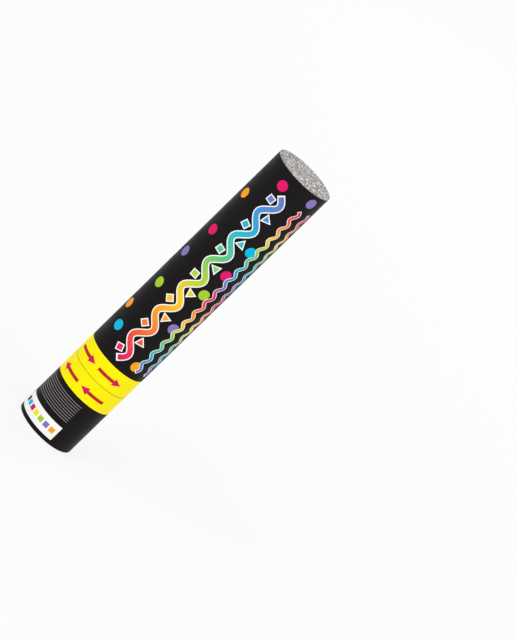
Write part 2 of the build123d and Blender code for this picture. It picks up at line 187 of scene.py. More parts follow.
class EffectWork(NodeWork):
    """A shader node group for an effect that several finishes share, on Object coordinates."""

    def __init__(self, name: str) -> None:
        """Starts the group."""
        super().__init__(bpy.data.node_groups.new(name, "ShaderNodeTree"))
        self.where = self.add("ShaderNodeTexCoord").outputs["Object"]

    def take(self, *labels: str) -> Sequence[Socket]:
        """Makes the group's inputs.

        Args:
            labels: their names.

        Returns:
            What they bring in, in the same order.
        """
        for label in labels:
            self.tree.interface.new_socket(label, in_out="INPUT", socket_type="NodeSocketFloat")
        brought = self.add("NodeGroupInput").outputs
        return [brought[label] for label in labels]

    def give(self, **results: Socket) -> None:
        """Makes the group's outputs and feeds them.

        Args:
            results: what each output gives, by its name.
        """
        for label in results:
            self.tree.interface.new_socket(label, in_out="OUTPUT", socket_type="NodeSocketFloat")
        self.add("NodeGroupOutput", results)

    def fibre(self) -> None:
        """Matted paper fibre: a cloudy tone, and a height from its finer flecks."""
        fleck_fineness = 3.3
        cloud_share = 0.65
        (scale,) = self.take("Scale")
        cloud = self.noise(self.where, scale, detail=5.0)
        fleck = self.noise(self.where, self.math("MULTIPLY", scale, fleck_fineness), detail=2.0)
        clouds = self.math("MULTIPLY", cloud, cloud_share)
        flecks = self.math("MULTIPLY", fleck, 1.0 - cloud_share)
        self.give(Tone=self.math("ADD", clouds, flecks), Height=fleck)

    def seam(self) -> None:
        """Helical joint of a wound tube: 1 on the joint and 0 away from it."""
        pitch, width = self.take("Pitch", "Width")
        x, y, z = self.split(self.where)
        turn = self.math("DIVIDE", self.math("ARCTAN2", y, x), 2 * math.pi)
        along = self.math("FRACT", self.math("ADD", self.math("DIVIDE", z, pitch), turn))
        near = self.math("MINIMUM", along, self.math("SUBTRACT", 1.0, along))
        away = self.math("DIVIDE", self.math("MULTIPLY", near, pitch), width)
        self.give(Line=self.ramp(away, UNIT_SPAN, (1.0, 0.0)))

    def ends(self) -> None:
        """Raggedly rubbed upper end of a paper: 1 where the print is worn through."""
        soft_edge = (0.0, 0.3)
        end, reach = self.take("End", "Reach")
        below = self.math("SUBTRACT", end, self.split(self.where)[2])
        near = self.math("SUBTRACT", 1.0, self.math("DIVIDE", below, reach))
        rubbed = self.math("SUBTRACT", near, self.noise(self.where, scale=420.0, detail=4.0))
        self.give(Wear=self.ramp(rubbed, soft_edge, UNIT_SPAN))

    def scuff(self) -> None:
        """Fine handling marks: patches of duller surface and a grain height."""
        patch_span = (0.35, 0.7)
        scale, grain = self.take("Scale", "Grain")
        patch = self.ramp(self.noise(self.where, scale, detail=6.0), patch_span, UNIT_SPAN)
        self.give(Patch=patch, Grain=self.noise(self.where, grain, detail=1.0))

    def turned(self) -> None:
        """Fine lines round the Z axis, as turning and drawing leave them."""
        (scale,) = self.take("Scale")
        x, y, z = self.split(self.where)
        out = self.math("SQRT", self.math("ADD", self.math("MULTIPLY", x, x), self.math("MULTIPLY", y, y)))
        self.give(Line=self.noise(self.join(out, z, 0.0), scale, detail=2.0))


class Effect(Enum):
    """Surface effects that several finishes share, by the name of their node group."""

    FIBRE = "paper_fibre"
    SEAM = "wound_seam"
    ENDS = "worn_ends"
    SCUFF = "fine_scuff"
    TURNED = "turned_lines"

    @property
    def tree(self) -> Tree:
        """The effect's node group, built when it is first asked for.

        Returns:
            The group.
        """
        found = bpy.data.node_groups.get(self.value)
        if found is None:
            work = EffectWork(self.value)
            makers = {
                Effect.FIBRE: work.fibre,
                Effect.SEAM: work.seam,
                Effect.ENDS: work.ends,
                Effect.SCUFF: work.scuff,
                Effect.TURNED: work.turned,
            }
            makers[self]()
            found = work.tree
        return found


class Surface(NodeWork):
    """A material with one Principled shader."""

    def __init__(self, name: str, **plain: float) -> None:
        """Makes the material.

        Args:
            name: the material's name.
            plain: the shader's inputs that are the same all over, with words joined by underscores.
        """
        self.material = bpy.data.materials.new(name)
        self.material.use_nodes = True
        super().__init__(self.material.node_tree)
        self.tree.nodes.clear()
        feeds = {label.replace("_", " "): value for label, value in plain.items()}
        self.shader = self.add("ShaderNodeBsdfPrincipled", feeds)
        self.add("ShaderNodeOutputMaterial", {"Surface": self.shader.outputs[0]})
        self.where = self.add("ShaderNodeTexCoord").outputs["Object"]

    def effect(self, effect: Effect, **values: float) -> bpy.types.NodeOutputs:
        """Places a shared effect with its own values and gives its outputs."""
        return self.add("ShaderNodeGroup", values, node_tree=effect.tree).outputs

    def mix(self, share: Socket, first: Socket | Colour, second: Socket | Colour) -> Socket:
        """Mixes two colours: the first where the share is 0, the second where it is 1."""
        return self.get("ShaderNodeMix", {0: share, 6: first, 7: second}, data_type="RGBA")

    def shade(self, colour: Socket | Colour, tone: Socket, depth: float) -> Socket:
        """Lightens and darkens a colour by a tone.

        Args:
            colour: the colour.
            tone: light and dark, as a noise gives them.
            depth: the largest share by which the colour changes.

        Returns:
            The shaded colour.
        """
        if not isinstance(colour, bpy.types.NodeSocket):
            colour = colour[:3]
        return self.scale(colour, self.ramp(tone, TONE_SPAN, (1.0 - depth, 1.0 + depth)))

    def dress(
        self,
        colour: Socket,
        rough: Socket | None = None,
        height: Socket | None = None,
        relief: float = 0.0,
    ) -> Material:
        """Feeds the shader with what varies over the surface.

        Args:
            colour: its colour.
            rough: its roughness, unless that is plain.
            height: what its bump follows, from 0 to 1.
            relief: how deep the bump is.

        Returns:
            The finished material.
        """
        feeds = {"Base Color": colour, "Roughness": rough}
        if height is not None:
            bump = {"Height": height, "Distance": relief, "Strength": 1.0}
            feeds["Normal"] = self.get("ShaderNodeBump", bump)
        for label, feed in feeds.items():
            if feed is not None:
                self.tree.links.new(feed, self.shader.inputs[label])
        return self.material


# Finishes


@dataclass(frozen=True)
class Varnish:
    """Dull varnish on print, with the paper's fibre showing in the tone, the gloss and the relief."""

    cloud: float = 0.05
    roughness: Span = (0.44, 0.54)
    relief: float = 0.012 * MM

    def surface(self, name: str) -> Surface:
        """Starts a varnished material."""
        return Surface(name, Specular_IOR_Level=0.08)

    def fibre(self, work: Surface) -> bpy.types.NodeOutputs:
        """Places the paper's fibre in a varnished material."""
        return work.effect(Effect.FIBRE, Scale=1300.0)

    def finish(self, work: Surface, ink: Socket | Colour) -> Material:
        """Lays an ink under the varnish.

        Args:
            work: the varnished material.
            ink: the ink's colour.

        Returns:
            The finished material.
        """
        fibre = self.fibre(work)
        rough = work.ramp(fibre["Tone"], NOISE_SPAN, self.roughness)
        return work.dress(work.shade(ink, fibre["Tone"], self.cloud), rough, fibre["Height"], self.relief)


@dataclass(frozen=True)
class PrintedPaper:
    """Black paper with a yellow band, dulled in patches and worn white along its upper end.

    The joint of the wound tube under it tells through as a shallow groove.
    """

    name: str
    band: Span
    worn_end: float
    joint_depth: float = 1.6
    varnish: Varnish = Varnish(cloud=0.06, roughness=(0.44, 0.56))

    def material(self) -> Material:
        """Builds the finish.

        Returns:
            The new material.
        """
        work = self.varnish.surface(self.name)
        fibre = self.varnish.fibre(work)
        joint = work.effect(Effect.SEAM, Pitch=64.0 * MM, Width=1.1 * MM)["Line"]
        wear = work.effect(Effect.ENDS, End=self.worn_end, Reach=0.18 * MM)["Wear"]
        patch = work.effect(Effect.SCUFF, Scale=120.0)["Patch"]
        height = work.split(work.where)[2]
        over = work.math("GREATER_THAN", height, self.band[0])
        under = work.math("LESS_THAN", height, self.band[1])
        ink = work.mix(work.math("MULTIPLY", over, under), Ink.BLACK.colour, Ink.YELLOW.colour)
        colour = work.mix(wear, work.shade(ink, fibre["Tone"], self.varnish.cloud), Ink.WHITE.colour)
        rough = work.math("ADD", work.ramp(patch, UNIT_SPAN, self.varnish.roughness), wear)
        relief = work.math("SUBTRACT", fibre["Height"], work.math("MULTIPLY", joint, self.joint_depth))
        return work.dress(colour, rough, relief, self.varnish.relief)


@dataclass(frozen=True)
class InkFilm:
    """One ink on the paper."""

    ink: Ink
    varnish: Varnish = Varnish()

    def material(self) -> Material:
        """Gives the ink's one finish, building it at its first use.

        Returns:
            The ink's material.
        """
        name = "ink_" + self.ink.name.lower()
        if name in bpy.data.materials:
            return bpy.data.materials[name]
        return self.varnish.finish(self.varnish.surface(name), self.ink.colour)


@dataclass(frozen=True)
class RainbowFilm:
    """Inks that run into each other along the tube, over a span of heights."""

    name: str
    span: Span
    stops: tuple[Steps, ...]
    varnish: Varnish = Varnish()

    def material(self) -> Material:
        """Builds the finish.

        Returns:
            The new material.
        """
        work = self.varnish.surface(self.name)
        low, high = self.span
        share = work.math("DIVIDE", work.math("SUBTRACT", work.split(work.where)[2], low), high - low)
        run = work.add("ShaderNodeValToRGB", {0: share})
        elements = run.color_ramp.elements
        while len(elements) < len(self.stops):
            elements.new(0.5)
        for number, steps in enumerate(self.stops):
            elements[number].position = number / (len(self.stops) - 1)
            elements[number].color = linear(steps)
        return self.varnish.finish(work, run.outputs["Color"])


@dataclass(frozen=True)
class Board:
    """Bare board or paper: cloudy matted fibre with dark flecks, and a wound tube's joint if it has one."""

    name: str
    colour: Steps
    joint_pitch: float = 0.0
    joint_colour: Steps = (70, 52, 36)
    joint_shade: float = 0.6
    joint_depth: float = 3.0
    cloud: float = 0.28
    fleck_span: Span = (0.66, 0.74)
    fleck_colour: Steps = (74, 60, 46)

    def material(self) -> Material:
        """Builds the finish.

        Returns:
            The new material.
        """
        work = Surface(self.name, Specular_IOR_Level=0.15)
        fibre = work.effect(Effect.FIBRE, Scale=700.0)
        speck = work.noise(work.where, scale=2600.0, detail=1.0)
        fleck = work.ramp(speck, self.fleck_span, (0.0, 2.0 * self.cloud))
        colour = work.shade(linear(self.colour), fibre["Tone"], self.cloud)
        colour = work.mix(fleck, colour, linear(self.fleck_colour))
        rough = work.ramp(fibre["Tone"], NOISE_SPAN, (0.78, 0.94))
        height = fibre["Height"]
        if self.joint_pitch:
            joint = work.effect(Effect.SEAM, Pitch=self.joint_pitch, Width=0.7 * MM)["Line"]
            share = work.math("MULTIPLY", joint, self.joint_shade)
            colour = work.mix(share, colour, linear(self.joint_colour))
            height = work.math("SUBTRACT", height, work.math("MULTIPLY", joint, self.joint_depth))
        return work.dress(colour, rough, height, relief=0.05 * MM)


@dataclass(frozen=True)
class Plastic:
    """Moulded plastic with a fine spark texture and handling marks."""

    name: str
    colour: Steps
    roughness: Span = (0.38, 0.54)
    specular: float = 0.45

    def material(self) -> Material:
        """Builds the finish.

        Returns:
            The new material.
        """
        work = Surface(self.name, Specular_IOR_Level=self.specular)
        scuff = work.effect(Effect.SCUFF, Scale=140.0, Grain=3800.0)
        colour = work.shade(linear(self.colour), scuff["Patch"], depth=0.08)
        rough = work.ramp(scuff["Patch"], UNIT_SPAN, self.roughness)
        return work.dress(colour, rough, scuff["Grain"], relief=0.02 * MM)


@dataclass(frozen=True)
class Metal:
    """Bare metal with lines from drawing or turning round the tube's axis."""

    name: str
    colour: Steps
    roughness: Span = (0.37, 0.44)

    def material(self) -> Material:
        """Builds the finish.

        Returns:
            The new material.
        """
        work = Surface(self.name, Metallic=1.0)
        line = work.effect(Effect.TURNED, Scale=7000.0)["Line"]
        patch = work.effect(Effect.SCUFF, Scale=260.0)["Patch"]
        colour = work.shade(linear(self.colour), line, depth=0.1)
        return work.dress(colour, work.ramp(patch, UNIT_SPAN, self.roughness), line, relief=0.006 * MM)


@dataclass(frozen=True)
class Rubber:
    """Moulded rubber, dull, with bloom in patches."""

    name: str
    colour: Steps = (26, 26, 27)
    bloom_colour: Steps = (52, 51, 50)
    bloom: float = 0.35

    def material(self) -> Material:
        """Builds the finish.

        Returns:
            The new material.
        """
        work = Surface(self.name, Specular_IOR_Level=0.3)
        scuff = work.effect(Effect.SCUFF, Scale=420.0, Grain=6000.0)
        share = work.math("MULTIPLY", scuff["Patch"], self.bloom)
        colour = work.mix(share, linear(self.colour), linear(self.bloom_colour))
        rough = work.ramp(scuff["Patch"], UNIT_SPAN, (0.55, 0.75))
        return work.dress(colour, rough, scuff["Grain"], relief=0.01 * MM)


@dataclass(frozen=True)
class Felt:
    """Pressed wool felt."""

    name: str
    colour: Steps

    def material(self) -> Material:
        """Builds the finish.

        Returns:
            The new material.
        """
        nap = {"Sheen_Weight": 0.35, "Sheen_Roughness": 0.6}
        work = Surface(self.name, Specular_IOR_Level=0.1, Roughness=0.95, **nap)
        tone = work.effect(Effect.FIBRE, Scale=620.0)["Tone"]
        return work.dress(work.shade(linear(self.colour), tone, depth=0.2), height=tone, relief=0.5 * MM)


@dataclass(frozen=True)
class Tissue:
    """Dyed tissue paper with cloudy fibre and fine crinkles."""

    name: str
    colour: Steps

    def material(self) -> Material:
        """Builds the finish.

        Returns:
            The new material.
        """
        work = Surface(self.name, Specular_IOR_Level=0.15, Sheen_Weight=0.15, Roughness=0.8)
        tone = work.effect(Effect.FIBRE, Scale=420.0)["Tone"]
        crinkle = work.noise(work.where, scale=300.0, detail=5.0)
        colour = work.shade(linear(self.colour), tone, depth=0.32)
        return work.dress(colour, height=crinkle, relief=0.12 * MM)


@dataclass(frozen=True)
class GlitterFlakes:
    """Loose silver flakes, each with the tone that it carries; the few near-white ones are painted glints.
    """

    name: str
    darkest: Steps = (106, 102, 97)
    # Only a few flakes come near the brightest tone, and those are painted glints.
    brightest: Steps = (255, 253, 248)

    def material(self) -> Material:
        """Builds the finish.

        Returns:
            The new material.
        """
        work = Surface(self.name, Metallic=0.3, Roughness=0.4, Specular_IOR_Level=0.15)
        tone = work.add("ShaderNodeAttribute", attribute_name=FLAKE_GLINT_TONE).outputs["Fac"]
        return work.dress(work.mix(tone, linear(self.darkest), linear(self.brightest)))


@dataclass(frozen=True)
class GlitterBed:
    """Crushed silver glitter, glued down under the flakes."""

    name: str
    darkest: Steps = (114, 110, 105)
    brightest: Steps = (172, 167, 161)

    def material(self) -> Material:
        """Builds the finish.

        Returns:
            The new material.
        """
        work = Surface(self.name, Metallic=0.45, Roughness=0.45)
        grain = work.add("ShaderNodeTexVoronoi", {"Vector": work.where, "Scale": 1900.0}).outputs
        tone = work.split(grain["Color"])[0]
        colour = work.mix(tone, linear(self.darkest), linear(self.brightest))
        return work.dress(colour, height=grain["Distance"], relief=0.2 * MM)


# Meshes


def place_mesh(name: str, mesh: Mesh, *materials: Material) -> Piece:
    """Puts a mesh into the scene at the origin.

    Args:
        name: the piece's name.
        mesh: the mesh, already in its place.
        materials: its finishes, in the order that its faces number them.

    Returns:
        The new object.
    """
    piece = bpy.data.objects.new(name, mesh)
    bpy.context.scene.collection.objects.link(piece)
    for material in materials:
        mesh.materials.append(material)
    return piece


def carry(piece: Piece, body: str, node: str | None = None) -> None:
    """Makes a piece ride on a body, and reports it.

    Args:
        piece: the piece.
        body: the body's name.
        node: the node that it stands for, if there is one.
    """
    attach(piece, body)
    if node is not None:
        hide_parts(node)
    log.info("%s rides on %s: %d faces", piece.name, body, len(piece.data.polygons))


def take_mesh(name: str, shape: bmesh.types.BMesh) -> Mesh:
    """Turns faces into a mesh.

    Args:
        name: the mesh's name.
        shape: the faces, which are freed.

    Returns:
        The mesh.
    """
    mesh = bpy.data.meshes.new(name)
    shape.to_mesh(mesh)
    shape.free()
    return mesh


def close_mesh(name: str, shape: bmesh.types.BMesh) -> Mesh:
    """Merges doubles, turns the faces outwards and shades them smooth.

    Args:
        name: the mesh's name.
        shape: the faces, which are freed.

    Returns:
        The finished mesh.
    """
    bmesh.ops.remove_doubles(shape, verts=shape.verts, dist=WELD)
    bmesh.ops.dissolve_degenerate(shape, edges=shape.edges, dist=WELD / 10)
    bmesh.ops.recalc_face_normals(shape, faces=shape.faces)
    mesh = take_mesh(name, shape)
    mesh.shade_smooth()
    mesh.set_sharp_from_angle(angle=CREASE)
    return mesh


def lay_flat(face: bmesh.types.BMFace, sheet: bmesh.types.BMLayerItem, across: Span, along: Span) -> None:
    """Lays a face out flat on a map, its first two corners low and its last two high.

    Args:
        face: the face, which has four corners.
        sheet: the map.
        across: where its two sides lie.
        along: where its lower and its upper edge lie.
    """
    (left, right), (low, high) = across, along
    for corner, spot in zip(face.loops, ((left, low), (right, low), (right, high), (left, high))):
        corner[sheet].uv = spot


def flat_disc(name: str, radius: float, height: float = 0.0) -> Mesh:
    """Makes a flat round face about the Z axis that looks up.

    Args:
        name: the mesh's name.
        radius: the face's radius.
        height: how high it lies.

    Returns:
        The mesh.
    """
    shape = bmesh.new()
    bmesh.ops.create_circle(shape, cap_ends=True, segments=96, radius=radius)
    bmesh.ops.translate(shape, verts=shape.verts, vec=(0.0, 0.0, height))
    return take_mesh(name, shape)


def lathe(name: str, outline: Outline, segments: int = 240) -> Mesh:
    """Turns an outline about the Z axis.

    Args:
        name: the mesh's name.
        outline: closed loop of radius and height.
        segments: steps round the axis.

    Returns:
        A closed mesh.
    """
    shape = bmesh.new()
    rings = []
    for step in range(segments):
        angle = 2 * math.pi * step / segments
        rings.append([shape.verts.new((r * math.cos(angle), r * math.sin(angle), z)) for r, z in outline])
    for near, far in zip(rings, rings[1:] + rings[:1]):
        for corner in range(len(outline)):
            after = (corner + 1) % len(outline)
            shape.faces.new((near[corner], far[corner], far[after], near[after]))
    return close_mesh(name, shape)


def pressed_disc(radius: float, low: float, high: float, edge: float) -> Outline:
    """Draws the outline of a punched disc with a rounded rim.

    Args:
        radius: the disc's radius.
        low: height of its underside.
        high: height of its upper side.
        edge: radius of the rim's rounding.

    Returns:
        Closed loop of radius and height, for the lathe.
    """
    turn = [math.radians(angle) for angle in (0, 30, 60, 90)]
    upper = [(radius - edge + edge * math.cos(a), high - edge + edge * math.sin(a)) for a in turn]
    lower = [(r, low + high - z) for r, z in reversed(upper)]
    return [(0.0, low), *lower, *upper, (0.0, high)]


# Geometry Nodes


class GeometryWork(NodeWork):
    """A Geometry Nodes tree with named inputs that ends in realized, dressed geometry."""

    def __init__(self, name: str, *sizes: str, **others: str) -> None:
        """Makes the tree's sockets.

        Args:
            name: the tree's name.
            sizes: names of the inputs that are plain measures.
            others: socket type of each other input besides the geometry and the material.
        """
        super().__init__(bpy.data.node_groups.new(name, "GeometryNodeTree"))
        takes = {"Geometry": "NodeSocketGeometry", **others, **dict.fromkeys(sizes, "NodeSocketFloat")}
        for label, kind in {**takes, "Finish": "NodeSocketMaterial"}.items():
            self.tree.interface.new_socket(label, in_out="INPUT", socket_type=kind)
        self.tree.interface.new_socket("Geometry", in_out="OUTPUT", socket_type="NodeSocketGeometry")
        self.takes = self.add("NodeGroupInput").outputs

    def attribute(self, name: str) -> Socket:
        """Reads the number that each point carries by a name."""
        return self.get("GeometryNodeInputNamedAttribute", {"Name": name}, data_type="FLOAT")

    def position(self) -> Socket:
        """Reads where each point is."""
        return self.get("GeometryNodeInputPosition")

    def chance(self, low: float, high: float, seed: int) -> Socket:
        """Gives each element its own value between two limits."""
        feeds = {"Min": low, "Max": high, "Seed": seed}
        return self.get("FunctionNodeRandomValue", feeds, data_type="FLOAT")

    def copies(
        self,
        points: Socket,
        shape: Socket,
        turns: Sequence[Socket | float],
        sizes: Sequence[Socket | float] = (1.0, 1.0, 1.0),
    ) -> Socket:
        """Puts a copy of a shape on every point.

        Args:
            points: where the copies go.
            shape: what is copied.
            turns: angles by which each copy is turned about X, Y and Z.
            sizes: factors by which it is stretched along its own X, Y and Z.

        Returns:
            The copies, as instances.
        """
        rotation = self.get("FunctionNodeEulerToRotation", {0: self.join(*turns)})
        feeds = {"Points": points, "Instance": shape, "Rotation": rotation, "Scale": self.join(*sizes)}
        return self.get("GeometryNodeInstanceOnPoints", feeds)

    def realized(self, copies: Socket) -> Socket:
        """Turns instances into geometry of their own."""
        return self.get("GeometryNodeRealizeInstances", {"Geometry": copies})

    def moved(self, geometry: Socket, **where: Socket) -> Socket:
        """Moves points to a Position, or by an Offset."""
        return self.get("GeometryNodeSetPosition", {"Geometry": geometry, **where})

    def film(self, faces: Socket, thickness: Socket) -> Socket:
        """Gives flat faces a thickness.

        Args:
            faces: the faces.
            thickness: how far they are raised.

        Returns:
            A shell that is closed on every side.
        """
        feeds = {"Mesh": faces, "Offset Scale": thickness, "Individual": False}
        upper = self.get("GeometryNodeExtrudeMesh", feeds, mode="FACES")
        lower = self.get("GeometryNodeFlipFaces", {"Mesh": faces})
        both = self.add("GeometryNodeJoinGeometry", {0: upper})
        self.tree.links.new(lower, both.inputs[0])
        return self.get("GeometryNodeMergeByDistance", {"Geometry": both.outputs[0], "Distance": WELD})

    def give(self, geometry: Socket) -> Tree:
        """Ends the tree with realized instances in the finish.

        Args:
            geometry: what the tree has made.

        Returns:
            The finished tree.
        """
        feeds = {"Geometry": self.realized(geometry), "Material": self.takes["Finish"]}
        self.add("NodeGroupOutput", {"Geometry": self.get("GeometryNodeSetMaterial", feeds)})
        return self.tree


def grow(piece: Piece, tree: Tree, **values: object) -> None:
    """Runs a tree on a piece and keeps the result as its plain mesh.

    Args:
        piece: the object that the tree starts from.
        tree: the Geometry Nodes tree.
        values: the tree's inputs by name.
    """
    start = piece.data
    named = {item.name: item.identifier for item in tree.interface.items_tree if item.in_out == "INPUT"}
    modifier = piece.modifiers.new(tree.name, "NODES")
    modifier.node_group = tree
    for label, value in values.items():
        modifier[named[label]] = value
    graph = bpy.context.evaluated_depsgraph_get()
    grown = piece.evaluated_get(graph)
    mesh = bpy.data.meshes.new_from_object(grown, preserve_all_data_layers=True, depsgraph=graph)
    piece.modifiers.clear()
    piece.data = mesh
    bpy.data.meshes.remove(start)
    mesh.name = piece.name


def point_cloud(name: str, points: Iterable[Vector], **numbers: Sequence[float]) -> Piece:
    """Makes an object of loose points.

    Args:
        name: the object's name.
        points: where the points are.
        numbers: what each point carries, by name.

    Returns:
        The new object.
    """
    mesh = bpy.data.meshes.new(name)
    mesh.from_pydata([tuple(point) for point in points], [], [])
    for label, values in numbers.items():
        mesh.attributes.new(label, "FLOAT", "POINT").data.foreach_set("value", values)
    return place_mesh(name, mesh)


# Print


@dataclass(frozen=True)
class Place:
    """Where a motif lies: degrees from the front, millimetres above the foot, and degrees of turn."""

    angle: float
    height: float
    turn: float = 0.0


def rectangle(width: float, height: float, grown: float = 0.0) -> list[Outline]:
    """Draws a flat rectangle about the origin, in millimetres, grown on every side."""
    x, y = width / 2 + grown, height / 2 + grown
    return [[(-x, -y), (x, -y), (x, y), (-x, y)]]


def polygon(radius: float, corners: int, first: float = 0.0) -> list[Outline]:
    """Draws a flat regular polygon about the origin, in millimetres, from its first corner's angle."""
    angles = [first + 2 * math.pi * corner / corners for corner in range(corners)]
    return [[(radius * math.cos(angle), radius * math.sin(angle)) for angle in angles]]


def triangle(side: float, grown: float = 0.0) -> list[Outline]:
    """Draws a flat triangle about the origin that points up, in millimetres, grown on every side."""
    return polygon(side / math.sqrt(3.0) + 2 * grown, 3, math.pi / 2)


def flat_motif(name: str, faces: Sequence[Outline], grain: float = 1.3 * MM) -> Piece:
    """Makes a flat motif, cut along a square grid so that it can bend round the tube.

    Args:
        name: the motif's name.
        faces: its faces, in millimetres.
        grain: the grid's step.

    Returns:
        An object that is only copied from, and is removed after the print is laid.
    """
    narrowest_strip = 0.1 * grain
    shape = bmesh.new()
    for outline in faces:
        shape.faces.new([shape.verts.new((x * MM, y * MM, 0.0)) for x, y in outline])
    bmesh.ops.remove_doubles(shape, verts=shape.verts, dist=WELD)
    for axis, normal in enumerate((Vector((1.0, 0.0, 0.0)), Vector((0.0, 1.0, 0.0)))):
        reach = [vert.co[axis] for vert in shape.verts]
        cut = min(reach) + grain
        while cut < max(reach) - narrowest_strip:
            everything = shape.verts[:] + shape.edges[:] + shape.faces[:]
            plane = {"plane_co": normal * cut, "plane_no": normal}
            bmesh.ops.bisect_plane(shape, geom=everything, dist=WELD / 100, **plane)
            cut += grain
    bmesh.ops.recalc_face_normals(shape, faces=shape.faces)
    if sum(face.normal.z for face in shape.faces) < 0:
        bmesh.ops.reverse_faces(shape, faces=shape.faces)
    return place_mesh(name, take_mesh(name, shape))


def print_tree() -> Tree:
    """Builds the tree that lays flat motifs on points of the paper and wraps them round the tube as ink.

    Returns:
        The tree.
    """
    work = GeometryWork("printed_film", "Radius", "Lift", "Thickness", Motif="NodeSocketObject")
    motif = work.add("GeometryNodeObjectInfo", {"Object": work.takes["Motif"]}).outputs["Geometry"]
    laid = work.copies(work.takes["Geometry"], motif, (0.0, 0.0, work.attribute("turn")))
    film = work.film(work.realized(laid), work.takes["Thickness"])
    across, along, above = work.split(work.position())
    angle = work.math("DIVIDE", across, work.takes["Radius"])
    out = work.math("ADD", work.math("ADD", work.takes["Radius"], work.takes["Lift"]), above)
    side = work.math("MULTIPLY", out, work.math("SINE", angle))
    front = work.math("MULTIPLY", out, work.math("COSINE", angle))
    wrapped = work.join(side, work.math("MULTIPLY", front, -1.0), along)
    return work.give(work.moved(film, Position=wrapped))


@dataclass
class Press:
    """Prints motifs on one body's paper, each ink as a thin closed film."""

    body: str
    slot: str
    radius: float
    tree: Tree
    film: float = 0.03 * MM

    def lay(
        self,
        name: str,
        faces: Sequence[Outline],
        places: Sequence[Place],
        finish: Material,
        layer: int = 0,
    ) -> None:
        """Prints one motif at many places.

        Args:
            name: the piece's name.
            faces: the motif's flat faces, in millimetres.
            places: where it goes.
            finish: its ink.
            layer: how many films lie under it.
        """
        motif = flat_motif(name + "_motif", faces)
        points = [Vector((math.radians(spot.angle) * self.radius, spot.height * MM, 0.0)) for spot in places]
        piece = point_cloud(name, points, turn=[math.radians(spot.turn) for spot in places])
        sizes = {"Radius": self.radius, "Lift": layer * self.film, "Thickness": self.film}
        grow(piece, self.tree, Motif=motif, Finish=finish, **sizes)
        bpy.data.meshes.remove(motif.data)
        carry(piece, self.body)


@dataclass(frozen=True)
class Streamer:
    """A wavy printed streamer with a white edge, in millimetres, that runs up the barrel at some angles."""

    name: str
    angles: tuple[float, ...]
    waves: float
    swing: float
    width: float
    edge: float
    span: Span = (87.0, 262.0)
    steps_per_wave: int = 26
    first_seed: int = 5

    def strip(self, grown: float = 0.0) -> list[Outline]:
        """Draws the streamer flat about the origin.

        Args:
            grown: how much wider on each side, and longer at each end, it becomes.

        Returns:
            The strip's faces.
        """
        half = self.width / 2 + grown
        length = self.span[1] - self.span[0]
        pace = 2 * math.pi * self.waves / length
        steps = int(self.steps_per_wave * self.waves)
        rows = []
        for step in range(steps + 1):
            y = (step / steps - 0.5) * (length + 2 * grown)
            x = self.swing * math.sin(pace * (y + length / 2))
            slope = self.swing * pace * math.cos(pace * (y + length / 2))
            aside = half / math.hypot(1.0, slope)
            rows.append(((x - aside, y + slope * aside), (x + aside, y - slope * aside)))
        return [[*near, *reversed(far)] for near, far in zip(rows, rows[1:])]

    def hollows(self, aside: float) -> list[Place]:
        """Finds the hollows of its bends, where bits of confetti go, each turned its own way.

        Args:
            aside: how far a bit lies beside the streamer's line, in degrees.

        Returns:
            A place for each bit, upwards along one copy of the streamer after the other.
        """
        low, high = self.span
        places = []
        for number, angle in enumerate(self.angles):
            dice = random.Random(self.first_seed + number)
            for bend in range(int(2 * self.waves)):
                height = low + (high - low) * (bend + 0.5) / (2 * self.waves)
                side = 1 if bend % 2 else -1
                places.append(Place(angle + side * aside, height, dice.uniform(0.0, 180.0)))
        return places


